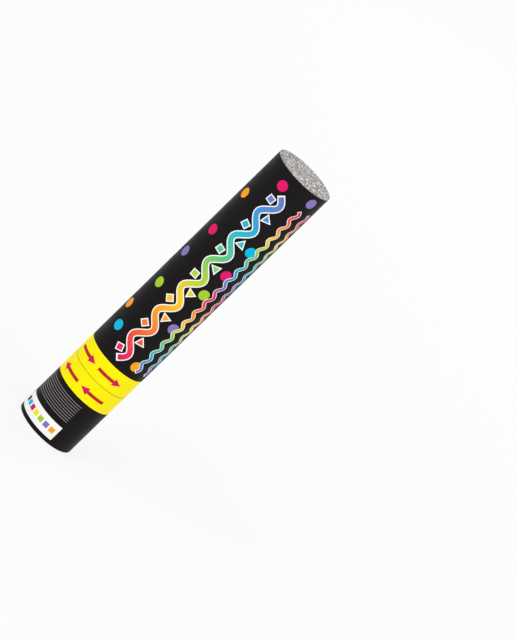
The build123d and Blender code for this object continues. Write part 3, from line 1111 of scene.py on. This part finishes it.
@dataclass
class BarrelPrint:
    """Polka dots, and wavy streamers with bits of confetti, on the barrel's paper."""

    press: Press
    dot: list[Outline] = field(default_factory=lambda: polygon(8.6 / 2, corners=36))
    front_dots: dict[Ink, tuple[tuple[float, float], ...]] = field(
        default_factory=lambda: {
            Ink.ORANGE: ((-65.0, 118.6), (-56.9, 241.7), (36.0, 90.2)),
            Ink.CYAN: ((-41.6, 103.0), (32.3, 214.8)),
            Ink.LIME: ((-46.5, 148.2), (28.3, 166.9)),
            Ink.VIOLET: ((-58.0, 178.0), (48.4, 272.3), (33.9, 131.4)),
            Ink.PINK: ((-47.0, 205.6), (-12.2, 268.4), (31.5, 189.0)),
        }
    )
    back_columns: tuple[float, ...] = (98.0, 124.0, 150.0, 240.0, 261.0)
    back_span: Span = (90.0, 273.0)
    back_pitch: Span = (25.0, 33.0)
    back_stagger: float = 14.0
    back_scatter: Span = (-4.0, 4.0)
    back_ink_steps: tuple[int, int] = (3, 2)
    back_seed: int = 7
    wide: Streamer = Streamer("streamer", (0.0, 209.0), waves=6.5, swing=4.6, width=4.2, edge=0.8)
    narrow: Streamer = Streamer("narrow_streamer", (43.0, 68.0), waves=15.5, swing=1.7, width=2.3, edge=0.5)
    rainbow: tuple[Steps, ...] = (
        (222, 22, 104),
        (238, 84, 62),
        (250, 150, 40),
        (248, 205, 40),
        (176, 208, 60),
        (96, 196, 120),
        (40, 186, 200),
        (60, 150, 214),
        (112, 116, 190),
    )
    square_side: float = 4.4
    triangle_side: float = 5.72
    bit_aside: float = 4.3 * MM

    def back_dots(self) -> dict[Ink, list[tuple[float, float]]]:
        """Carries the dots on round the back, in uneven staggered columns clear of the paper's lap.

        Returns:
            Angle and height of each dot, by its ink.
        """
        dice = random.Random(self.back_seed)
        inks = list(self.front_dots)
        found: dict[Ink, list[tuple[float, float]]] = {ink: [] for ink in inks}
        low, high = self.back_span
        number = 0
        for column, angle in enumerate(self.back_columns):
            odd = column % 2
            height = low + self.back_stagger * odd + dice.uniform(*self.back_scatter)
            while height < high:
                found[inks[number % len(inks)]].append((angle + dice.uniform(*self.back_scatter), height))
                height += dice.uniform(*self.back_pitch)
                number += self.back_ink_steps[odd]
        return found

    def print_dots(self) -> None:
        """Prints the dots, one piece for each ink."""
        back = self.back_dots()
        for ink, front in self.front_dots.items():
            places = [Place(angle, height) for angle, height in (*front, *back[ink])]
            self.press.lay("dots_" + ink.name.lower(), self.dot, places, InkFilm(ink).material())

    def print_streamer(self, streamer: Streamer, ink: Material) -> None:
        """Prints a streamer on its white edge.

        Args:
            streamer: its form.
            ink: its own ink.
        """
        white = InkFilm(Ink.WHITE).material()
        places = [Place(angle, sum(streamer.span) / 2) for angle in streamer.angles]
        self.press.lay(streamer.name + "_edge", streamer.strip(streamer.edge), places, white, layer=1)
        self.press.lay(streamer.name, streamer.strip(), places, ink, layer=2)

    def print_bits(self, streamer: Streamer, ink: Material) -> None:
        """Prints squares and triangles by turns in the hollows of a streamer, each on its white edge.

        Args:
            streamer: the streamer's form.
            ink: the bits' own ink.
        """
        white = InkFilm(Ink.WHITE).material()
        square = (self.square_side, self.square_side)
        shapes = {
            "squares": (rectangle(*square), rectangle(*square, streamer.edge)),
            "triangles": (triangle(self.triangle_side), triangle(self.triangle_side, streamer.edge)),
        }
        places = streamer.hollows(math.degrees(self.bit_aside / self.press.radius))
        for number, (shape, (bit, edge)) in enumerate(shapes.items()):
            chosen = places[number :: len(shapes)]
            self.press.lay(f"{streamer.name}_{shape}_edge", edge, chosen, white, layer=3)
            self.press.lay(f"{streamer.name}_{shape}", bit, chosen, ink, layer=4)

    def build(self) -> None:
        """Prints the dots, a wide streamer in front and behind, and two narrow ones beside the first."""
        self.print_dots()
        low, high = self.wide.span
        span = (low * MM, high * MM)
        rising = RainbowFilm("ink_rainbow", span, self.rainbow).material()
        falling = RainbowFilm("ink_rainbow_twice", span, self.rainbow[::-1] * 2).material()
        self.print_streamer(self.wide, rising)
        self.print_bits(self.wide, rising)
        self.print_streamer(self.narrow, falling)


@dataclass
class BasePrint:
    """White panel with colour patches, and a field of fine stripes above it, on the base's paper."""

    press: Press
    angle: float = -30.0
    panel: Span = (46.0, 13.2)
    panel_height: float = 10.2
    patch: Span = (4.4, 4.4)
    patch_pitch: float = 13.6
    patch_inks: Sequence[Ink] = (
        Ink.BLACK,
        Ink.CYAN,
        Ink.PINK,
        Ink.YELLOW,
        Ink.LIME,
        Ink.VIOLET,
        Ink.ORANGE,
    )
    stripe: Span = (44.0, 0.5)
    stripe_count: int = 9
    stripe_heights: Span = (22.4, 38.4)

    def lay(self, name: str, size: Span, places: Sequence[Place], ink: Ink, layer: int = 0) -> None:
        """Prints rectangles of one size in one ink."""
        self.press.lay(name, rectangle(*size), places, InkFilm(ink).material(), layer)

    def build(self) -> None:
        """Prints everything on the base."""
        self.lay("base_panel", self.panel, [Place(self.angle, self.panel_height)], Ink.WHITE)
        middle = (len(self.patch_inks) - 1) / 2
        for number, ink in enumerate(self.patch_inks):
            place = Place(self.angle + (number - middle) * self.patch_pitch, self.panel_height)
            self.lay("base_patch_" + ink.name.lower(), self.patch, [place], ink, layer=1)
        low, high = self.stripe_heights
        pitch = (high - low) / (self.stripe_count - 1)
        stripes = [Place(self.angle, low + number * pitch) for number in range(self.stripe_count)]
        self.lay("base_rules", self.stripe, stripes, Ink.GREY)


@dataclass
class TurnArrows:
    """Arrows that show which way an end of the popper turns.

    They point to rising angles where their turn is 0, and the other way where it is 180.
    """

    press: Press
    height: float
    turn: float
    shaft: Span = (15.6, 2.7)
    head: Span = (7.0, 6.6)
    angles: tuple[float, ...] = (-43.0, 17.0, 134.0, 226.0)

    def build(self) -> None:
        """Prints the arrows' shafts and heads."""
        places = [Place(angle, self.height, self.turn) for angle in self.angles]
        tail = -(self.shaft[0] + self.head[0]) / 2
        neck = tail + self.shaft[0]
        half = self.shaft[1] / 2
        wing = self.head[1] / 2
        shaft = [[(tail, -half), (neck, -half), (neck, half), (tail, half)]]
        head = [[(neck, -wing), (neck + self.head[0], 0.0), (neck, wing)]]
        self.press.lay(self.press.body + "_arrow_shafts", shaft, places, InkFilm(Ink.BRICK).material())
        self.press.lay(self.press.body + "_arrow_heads", head, places, InkFilm(Ink.MAGENTA).material())


# Pieces


@dataclass
class PaperWrap:
    """Printed paper rolled round a card tube, with its last edge lapped over its first at the back.

    Its map shows it unrolled: the lower cut edge, the printed side, the upper cut edge and the bare side lie
    one above the other between map_ends, each in its own span of map_sides, and map_cuts holds the two edges
    at the lap.
    """

    node: str
    body: str
    slot: str
    band: Span
    worn_end: float
    outside: float
    bare: Material
    thickness: float = 0.12 * MM
    lap: Span = (172.0, 186.0)
    lap_rise: float = 7.0
    lap_gap: float = 0.01 * MM
    cut_edge: float = 0.12 * MM
    round_steps: int = 230
    lap_steps: int = 8
    map_ends: Span = (0.01, 0.99)
    map_sides: tuple[Span, ...] = ((0.0, 0.01), (0.02, 0.68), (0.69, 0.7), (0.71, 1.0))
    map_cuts: tuple[Span, Span] = ((0.0, 0.005), (1.0, 0.995))

    def sections(self) -> list[tuple[float, float]]:
        """Works out the sheet's cross sections, from its first edge to its last.

        Returns:
            Angle of each, in radians from the front, and how far the sheet has climbed there.
        """
        first, last = math.radians(self.lap[0] - 360.0), math.radians(self.lap[1])
        meet = first + 2 * math.pi
        rise = math.radians(self.lap_rise)
        climb = meet - rise
        cut = last - self.cut_edge / self.outside
        corners = (first, climb, meet, cut, last)
        counts = (self.round_steps, self.lap_steps, self.lap_steps, 1)
        angles = [first]
        for start, end, steps in zip(corners, corners[1:], counts):
            angles += [start + (end - start) * (step + 1) / steps for step in range(steps)]
        shares = [min(max((angle - climb) / rise, 0.0), 1.0) for angle in angles]
        top = self.thickness + self.lap_gap
        return [(angle, top * share * share * (3.0 - 2.0 * share)) for angle, share in zip(angles, shares)]

    def roll(self, name: str) -> Mesh:
        """Rolls the sheet up where its node is.

        Args:
            name: the mesh's name.

        Returns:
            A closed mesh: its outside takes the first finish, and its inside and cut edges the second.
        """
        low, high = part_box(self.node)
        bore = self.outside - self.thickness
        corners = ((bore, low.z), (self.outside, low.z), (self.outside, high.z), (bore, high.z))
        printed_side = 1
        shape = bmesh.new()
        sheet = shape.loops.layers.uv.new(SHEET_MAP)
        rings = []
        for angle, lift in self.sections():
            spots = [((r + lift) * math.sin(angle), -(r + lift) * math.cos(angle), z) for r, z in corners]
            rings.append([shape.verts.new(spot) for spot in spots])
        start, end = self.map_ends
        step = (end - start) / (len(rings) - 1)
        for number, (near, far) in enumerate(zip(rings, rings[1:])):
            across = (start + number * step, start + (number + 1) * step)
            for side, along in enumerate(self.map_sides):
                after = (side + 1) % len(corners)
                face = shape.faces.new((near[side], far[side], far[after], near[after]))
                face.material_index = int(side != printed_side or far is rings[-1])
                lay_flat(face, sheet, across, along)
        for ring, across in zip((rings[0], rings[-1]), self.map_cuts):
            face = shape.faces.new(ring)
            face.material_index = 1
            lay_flat(face, sheet, across, self.map_sides[printed_side])
        return close_mesh(name, shape)

    def build(self) -> None:
        """Makes the wrap in its node's place."""
        name = self.node + "_paper"
        printed = PrintedPaper(self.slot, self.band, self.worn_end).material()
        piece = place_mesh(name, self.roll(name), printed, self.bare)
        carry(piece, self.body, self.node)


@dataclass
class Papers:
    """The barrel's and the base's printed papers, with the yellow band and the arrows where they meet."""

    setback: float = 0.14 * MM
    band_half: float = 18.3 * MM
    arrows_above: float = 8.7
    arrows_below: float = 10.3

    def build(self) -> None:
        """Makes both papers, then prints on each."""
        barrel_low, barrel_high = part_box("barrel_wrap")
        twist_line = (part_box("base_wrap")[1].z + barrel_low.z) / 2
        band = (twist_line - self.band_half, twist_line + self.band_half)
        outside = barrel_high.x - self.setback
        bare = Board("bare_paper", (216, 212, 204), cloud=0.06).material()
        tree = print_tree()
        presses = []
        for body, slot in (("barrel", "printed_barrel_paper"), ("base", "printed_base_paper")):
            PaperWrap(body + "_wrap", body, slot, band, barrel_high.z, outside, bare).build()
            presses.append(Press(body, slot, outside, tree))
        barrel, base = presses
        BarrelPrint(barrel).build()
        BasePrint(base).build()
        TurnArrows(barrel, twist_line / MM + self.arrows_above, turn=0.0).build()
        TurnArrows(base, twist_line / MM - self.arrows_below, turn=180.0).build()


@dataclass
class CardTube:
    """Wound board tube of the barrel, with softly cut ends."""

    wall: float = 2.0 * MM
    edge: float = 0.25 * MM

    def build(self) -> None:
        """Makes the tube in its node's place, with its four corners taken off by an edge."""
        low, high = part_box("barrel_tube")
        outside, bore, edge = high.x, high.x - self.wall, self.edge
        outline = (
            (bore + edge, low.z),
            (outside - edge, low.z),
            (outside, low.z + edge),
            (outside, high.z - edge),
            (outside - edge, high.z),
            (bore + edge, high.z),
            (bore, high.z - edge),
            (bore, low.z + edge),
        )
        finish = Board("wound_board_bore", (176, 148, 116), joint_pitch=58.0 * MM)
        piece = place_mesh("barrel_board", lathe("barrel_board", outline), finish.material())
        carry(piece, "barrel", "barrel_tube")


@dataclass
class MuzzleDisc:
    """Card disc that closes the muzzle, thick with silver glitter."""

    bed_depth: float = 0.12 * MM
    bed_edge: float = 0.2 * MM
    flake_radius: float = 1.15 * MM
    flake_shares: Span = (0.6, 1.15)
    flake_thickness: float = 0.05 * MM
    flake_tip: float = math.radians(10.0)
    flakes_per_square_metre: float = 1.0e6
    patches_per_metre: float = 450.0
    patch_share: float = 0.28
    # The tone is raised to this power so that most flakes stay dark and a few come out near white, as
    # painted glints.
    glint_power: float = 2.6

    def tree(self) -> Tree:
        """Builds the tree that strews tipped six-sided flakes, in lighter and darker patches, a few near
        white as painted glints.

        Returns:
            The tree.
        """
        work = GeometryWork("glitter_flakes", "Density", "Flake", "Thickness", "Patches")
        feeds = {"Mesh": work.takes["Geometry"], "Density": work.takes["Density"], "Seed": 11}
        strewn = work.get("GeometryNodeDistributePointsOnFaces", feeds, distribute_method="RANDOM")
        feeds = {"Vertices": 6, "Radius": work.takes["Flake"], "Depth": work.takes["Thickness"]}
        flake = work.get("GeometryNodeMeshCylinder", feeds, fill_type="NGON")
        tips = [work.chance(-self.flake_tip, self.flake_tip, seed) for seed in (1, 2)]
        turn = work.chance(0.0, math.pi, seed=3)
        size = work.chance(*self.flake_shares, seed=4)
        laid = work.copies(strewn, flake, (*tips, turn), (size, size, 1.0))
        cloud = work.noise(work.position(), work.takes["Patches"], detail=0.0)
        shared = work.math("MULTIPLY", work.ramp(cloud, NOISE_SPAN, UNIT_SPAN), self.patch_share)
        own = work.math("MULTIPLY", work.chance(*UNIT_SPAN, seed=5), 1.0 - self.patch_share)
        # Most flakes come out dark and a few near white: the near-white ones are painted glints.
        tone = work.math("POWER", work.math("ADD", own, shared), self.glint_power)
        feeds = {"Geometry": laid, "Name": FLAKE_GLINT_TONE, "Value": tone}
        toned = work.get("GeometryNodeStoreNamedAttribute", feeds, data_type="FLOAT", domain="INSTANCE")
        return work.give(toned)

    def build(self) -> None:
        """Makes the glittered card and strews its flakes."""
        low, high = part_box("muzzle_disc")
        top = high.z - self.bed_depth
        card = lathe("glitter_bed", pressed_disc(high.x, low.z, top, self.bed_edge))
        bed = place_mesh("glitter_bed", card, GlitterBed("glitter_bed_silver").material())
        carry(bed, "muzzle", "muzzle_disc")
        ground = flat_disc("glitter_flakes", high.x - self.flake_radius, top + self.flake_thickness)
        flakes = place_mesh("glitter_flakes", ground)
        grow(
            flakes,
            self.tree(),
            Density=self.flakes_per_square_metre,
            Flake=self.flake_radius,
            Thickness=self.flake_thickness,
            Patches=self.patches_per_metre,
            Finish=GlitterFlakes("glitter_flake_silver").material(),
        )
        carry(flakes, "muzzle")


@dataclass
class Charge:
    """Tissue slips in five colours and the felt pad under them."""

    slips_per_sheaf: int = 5
    width_shares: Span = (0.93, 1.0)
    length_shares: Span = (0.97, 1.0)
    jump: float = 0.6 * MM
    wave: float = 0.6 * MM
    waves_per_metre: float = 70.0
    thickness: float = 0.2 * MM
    side_clearance: float = 0.3 * MM
    end_clearance: float = 1.2 * MM
    pad_rim: float = 1.6 * MM
    colours: dict[str, Steps] = field(
        default_factory=lambda: {
            "red": (216, 44, 46),
            "yellow": (246, 226, 40),
            "green": (112, 190, 60),
            "blue": (20, 134, 176),
            "pink": (220, 130, 186),
        }
    )

    def tree(self) -> Tree:
        """Builds the tree that fills each sheaf's place with wavy slips of tissue.

        Returns:
            The tree.
        """
        work = GeometryWork("tissue_sheaves", "Width", "Length", "Wave", "Thickness", Slips="NodeSocketInt")
        feeds = {"Geometry": work.takes["Geometry"], "Amount": work.takes["Slips"]}
        repeated = work.add("GeometryNodeDuplicateElements", feeds, domain="POINT").outputs
        number = work.math("ADD", repeated["Duplicate Index"], 0.5)
        share = work.math("SUBTRACT", work.math("DIVIDE", number, work.takes["Slips"]), 0.5)
        depth = work.math("MULTIPLY", share, work.attribute("depth"))
        turn = work.attribute("turn")
        aside = work.math("MULTIPLY", depth, work.math("MULTIPLY", work.math("SINE", turn), -1.0))
        inward = work.math("MULTIPLY", depth, work.math("COSINE", turn))
        jump = work.chance(-self.jump, self.jump, seed=7)
        spread = work.moved(repeated["Geometry"], Offset=work.join(aside, inward, jump))
        sizes = {"Size X": work.takes["Width"], "Size Y": work.takes["Length"]}
        slip = work.get("GeometryNodeMeshGrid", {**sizes, "Vertices X": 4, "Vertices Y": 9})
        cuts = (work.chance(*self.width_shares, seed=8), work.chance(*self.length_shares, seed=9), 1.0)
        flat = work.realized(work.copies(spread, slip, (math.pi / 2, 0.0, turn), cuts))
        swell = work.noise(work.position(), self.waves_per_metre, detail=2.0)
        push = work.math("MULTIPLY", work.math("SUBTRACT", swell, 0.5), work.takes["Wave"])
        wavy = work.moved(flat, Offset=work.scale(work.get("GeometryNodeInputNormal"), push))
        return work.give(work.film(wavy, work.takes["Thickness"]))

    def sheaves(self, node: str) -> list[tuple[Vector, Vector]]:
        """Finds the separate sheaves of a node.

        Args:
            node: the node's name.

        Returns:
            The lowest and the highest corner of each sheaf.
        """
        shape = bmesh.new()
        shape.from_mesh(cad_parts[node].data)
        bmesh.ops.remove_doubles(shape, verts=shape.verts, dist=10 * WELD)
        left = set(shape.verts)
        found = []
        while left:
            start = min(left, key=lambda vert: vert.index)
            sheaf = {start}
            rim = [start]
            while rim:
                near = {edge.other_vert(vert) for vert in rim for edge in vert.link_edges}
                rim = list(near - sheaf)
                sheaf |= near
            left -= sheaf
            reach = list(zip(*[vert.co for vert in sheaf]))
            found.append((Vector([min(each) for each in reach]), Vector([max(each) for each in reach])))
        shape.free()
        return found

    def build_tissue(self) -> None:
        """Fills every sheaf with wavy slips, one piece for each colour."""
        tree = self.tree()
        for colour, steps in self.colours.items():
            node = "confetti_" + colour
            slot = "tissue_" + colour
            boxes = self.sheaves(node)
            sizes = [high - low for low, high in boxes]
            points = [(low + high) / 2 for low, high in boxes]
            turns = [0.0 if size.x > size.y else math.pi / 2 for size in sizes]
            depths = [min(size.x, size.y) for size in sizes]
            piece = point_cloud("slips_" + colour, points, turn=turns, depth=depths)
            grow(
                piece,
                tree,
                Slips=self.slips_per_sheaf,
                Width=max(sizes[0].x, sizes[0].y) - self.side_clearance,
                Length=sizes[0].z - self.end_clearance,
                Wave=self.wave,
                Thickness=self.thickness,
                Finish=Tissue(slot, steps).material(),
            )
            carry(piece, "confetti", node)

    def build_pad(self) -> None:
        """Makes the felt pad, pressed thinner at its rim."""
        low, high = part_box("wad_pad")
        mesh = lathe("felt_pad", pressed_disc(high.x, low.z, high.z, self.pad_rim), segments=160)
        piece = place_mesh("felt_pad", mesh, Felt("white_felt", (226, 222, 212)).material())
        carry(piece, "wad", "wad_pad")

    def build(self) -> None:
        """Makes the whole charge."""
        self.build_tissue()
        self.build_pad()


@dataclass
class Mechanism:
    """The solid pieces that keep their own shape, and the finish of each."""

    def build(self) -> None:
        """Dresses every node that no piece stands for."""
        nylon = Plastic("housing_nylon", (70, 72, 78), (0.51, 0.67))
        aluminium = Metal("drawn_aluminium", (222, 222, 226))
        rubber = Rubber("nitrile_rubber")
        finishes = {
            "base_tube": Board("wound_board_tube", (170, 142, 110), joint_pitch=58.0 * MM),
            "coupling_sleeve": Board("grey_sleeve_board", (150, 146, 138), joint_pitch=44.0 * MM),
            "base_cap": Plastic("cap_polypropylene", (24, 23, 24), (0.58, 0.74), specular=0.12),
            "release_housing": nylon,
            "plug_stop": nylon,
            "cam_ring": Plastic("cam_acetal", (224, 220, 210)),
            "valve_body": Plastic("valve_acetal", (214, 92, 54)),
            "retaining_clip": Metal("clip_spring_steel", (174, 174, 180)),
            "air_bottle": aluminium,
            "crimp_ferrule": aluminium,
            "valve_plug": Metal("turned_brass", (206, 172, 108), (0.27, 0.34)),
            "cross_pin": Metal("ground_steel", (198, 198, 200), (0.19, 0.26)),
            "neck_gasket": rubber,
            "neck_ring": rubber,
            "plug_ring": rubber,
            "pusher_wad": Board("wad_grey_board", (148, 142, 132)),
            "top_card": Board("white_card", (232, 229, 222), cloud=0.1),
        }
        made = {finish: finish.material() for finish in dict.fromkeys(finishes.values())}
        for node, finish in finishes.items():
            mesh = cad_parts[node].data
            mesh.materials.clear()
            mesh.materials.append(made[finish])
            log.info("%s is dressed in %s", node, finish.name)


# Studio


@dataclass(frozen=True)
class Lamp:
    """A square soft lamp: its place and side in metres, and its power in watts."""

    name: str
    place: tuple[float, float, float]
    side: float
    power: float

    def light(self, target: Vector) -> None:
        """Hangs the lamp up.

        Args:
            target: the point that it looks at.
        """
        data = bpy.data.lights.new(self.name, "AREA")
        data.size = self.side
        data.energy = self.power
        lamp = bpy.data.objects.new(self.name, data)
        bpy.context.scene.collection.objects.link(lamp)
        lamp.location = self.place
        lamp.rotation_euler = (target - lamp.location).to_track_quat("-Z", "Y").to_euler()


@dataclass
class Studio:
    """Floor, lamps and the view that the popper is seen from.

    The two pixels are where the middles of its foot and of its muzzle fall in the image.
    """

    image_size: tuple[int, int] = (516, 640)
    foot_pixel: Span = (43.7, 428.6)
    muzzle_pixel: Span = (304.5, 176.3)
    elevation: float = 16.0
    lens: float = 300.0
    sensor: float = 36.0
    lamps: tuple[Lamp, ...] = (
        Lamp("key", (-1.3, -1.9, 1.9), side=1.6, power=26.0),
        Lamp("fill", (1.7, -1.6, 1.0), side=1.8, power=14.0),
        Lamp("back", (0.6, 2.0, 1.6), side=1.6, power=16.0),
    )
    sky: float = 0.62
    white: Colour = (1.0, 1.0, 1.0, 1.0)
    floor_colour: Colour = (0.9, 0.9, 0.9, 1.0)
    floor_glow: float = 0.78
    floor_reach: float = 8.0

    def place_camera(self, low: Vector, high: Vector) -> None:
        """Puts the camera where the popper's axis falls on its two pixels.

        Args:
            low: lowest corner of the popper's box.
            high: highest corner of the popper's box.
        """
        across = self.muzzle_pixel[0] - self.foot_pixel[0]
        up = self.foot_pixel[1] - self.muzzle_pixel[1]
        tilt = math.atan2(across, up)
        rise = math.radians(self.elevation)
        scale = math.hypot(across, up) / ((high.z - low.z) * math.cos(rise))
        back = Vector((0.0, -math.cos(rise), math.sin(rise)))
        level = Vector((1.0, 0.0, 0.0))
        upright = Vector((0.0, math.sin(rise), math.cos(rise)))
        image_right = level * math.cos(tilt) + upright * math.sin(tilt)
        image_up = upright * math.cos(tilt) - level * math.sin(tilt)
        middle = [(foot + muzzle) / 2 for foot, muzzle in zip(self.foot_pixel, self.muzzle_pixel)]
        aside = (self.image_size[0] / 2 - middle[0]) / scale
        below = (self.image_size[1] / 2 - middle[1]) / scale
        aim = Vector((0.0, 0.0, (low.z + high.z) / 2)) + image_right * aside - image_up * below
        distance = max(self.image_size) / scale * self.lens / self.sensor
        data = bpy.data.cameras.new("camera")
        data.lens = self.lens
        data.sensor_width = self.sensor
        data.clip_end = 4 * distance
        camera = bpy.data.objects.new("camera", data)
        bpy.context.scene.collection.objects.link(camera)
        turn = Matrix((image_right, image_up, back)).transposed().to_4x4()
        camera.matrix_world = Matrix.Translation(aim + back * distance) @ turn
        bpy.context.scene.camera = camera

    def seen_directly(self, work: NodeWork) -> Socket:
        """Tells what the camera sees, also in a reflection or through glass, from what only lights.

        Args:
            work: the tree that asks.

        Returns:
            1 for what is seen and 0 for what only lights.
        """
        path = work.add("ShaderNodeLightPath").outputs
        mirror = work.math("MAXIMUM", path["Is Glossy Ray"], path["Is Transmission Ray"])
        return work.math("MAXIMUM", path["Is Camera Ray"], mirror)

    def spread_sky(self) -> None:
        """Spreads an even sky that is seen white."""
        world = bpy.data.worlds.new("studio")
        world.use_nodes = True
        bpy.context.scene.world = world
        work = NodeWork(world.node_tree)
        work.tree.nodes.clear()
        seen = self.seen_directly(work)
        strength = work.math("ADD", self.sky, work.math("MULTIPLY", seen, 1.0 - self.sky))
        sky = work.get("ShaderNodeBackground", {"Color": self.white, "Strength": strength})
        work.add("ShaderNodeOutputWorld", {"Surface": sky})

    def lay_floor(self) -> None:
        """Lays a white floor that keeps a soft shadow and can be looked through from below."""
        material = bpy.data.materials.new("studio_floor")
        material.use_nodes = True
        work = NodeWork(material.node_tree)
        work.tree.nodes.clear()
        lit = work.get("ShaderNodeBsdfDiffuse", {"Color": self.floor_colour})
        glow = work.get("ShaderNodeEmission", {"Color": self.white, "Strength": 1.0})
        pale = work.get("ShaderNodeMixShader", {0: self.floor_glow, 1: lit, 2: glow})
        shown = work.get("ShaderNodeMixShader", {0: self.seen_directly(work), 1: lit, 2: pale})
        clear = work.get("ShaderNodeBsdfTransparent")
        under = work.add("ShaderNodeNewGeometry").outputs["Backfacing"]
        whole = work.get("ShaderNodeMixShader", {0: under, 1: shown, 2: clear})
        work.add("ShaderNodeOutputMaterial", {"Surface": whole})
        floor = place_mesh("floor", flat_disc("floor", self.floor_reach), material)
        floor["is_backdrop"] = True

    def build(self, low: Vector, high: Vector) -> None:
        """Sets the whole studio up round the popper.

        Args:
            low: lowest corner of the popper's box.
            high: highest corner of the popper's box.
        """
        self.place_camera(low, high)
        for lamp in self.lamps:
            lamp.light(Vector((0.0, 0.0, (low.z + high.z) / 2)))
        self.spread_sky()
        self.lay_floor()
        bpy.context.scene.view_settings.view_transform = "Standard"


def main() -> None:
    """Builds the studio round the popper's size, then the popper's looks in order."""
    logging.basicConfig(level=logging.INFO, format="%(name)s: %(message)s")
    cad_low, cad_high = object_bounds()
    Studio().build(cad_low, cad_high)
    for assembly in (Papers(), CardTube(), MuzzleDisc(), Charge(), Mechanism()):
        assembly.build()


if __name__ == "__main__":
    main()
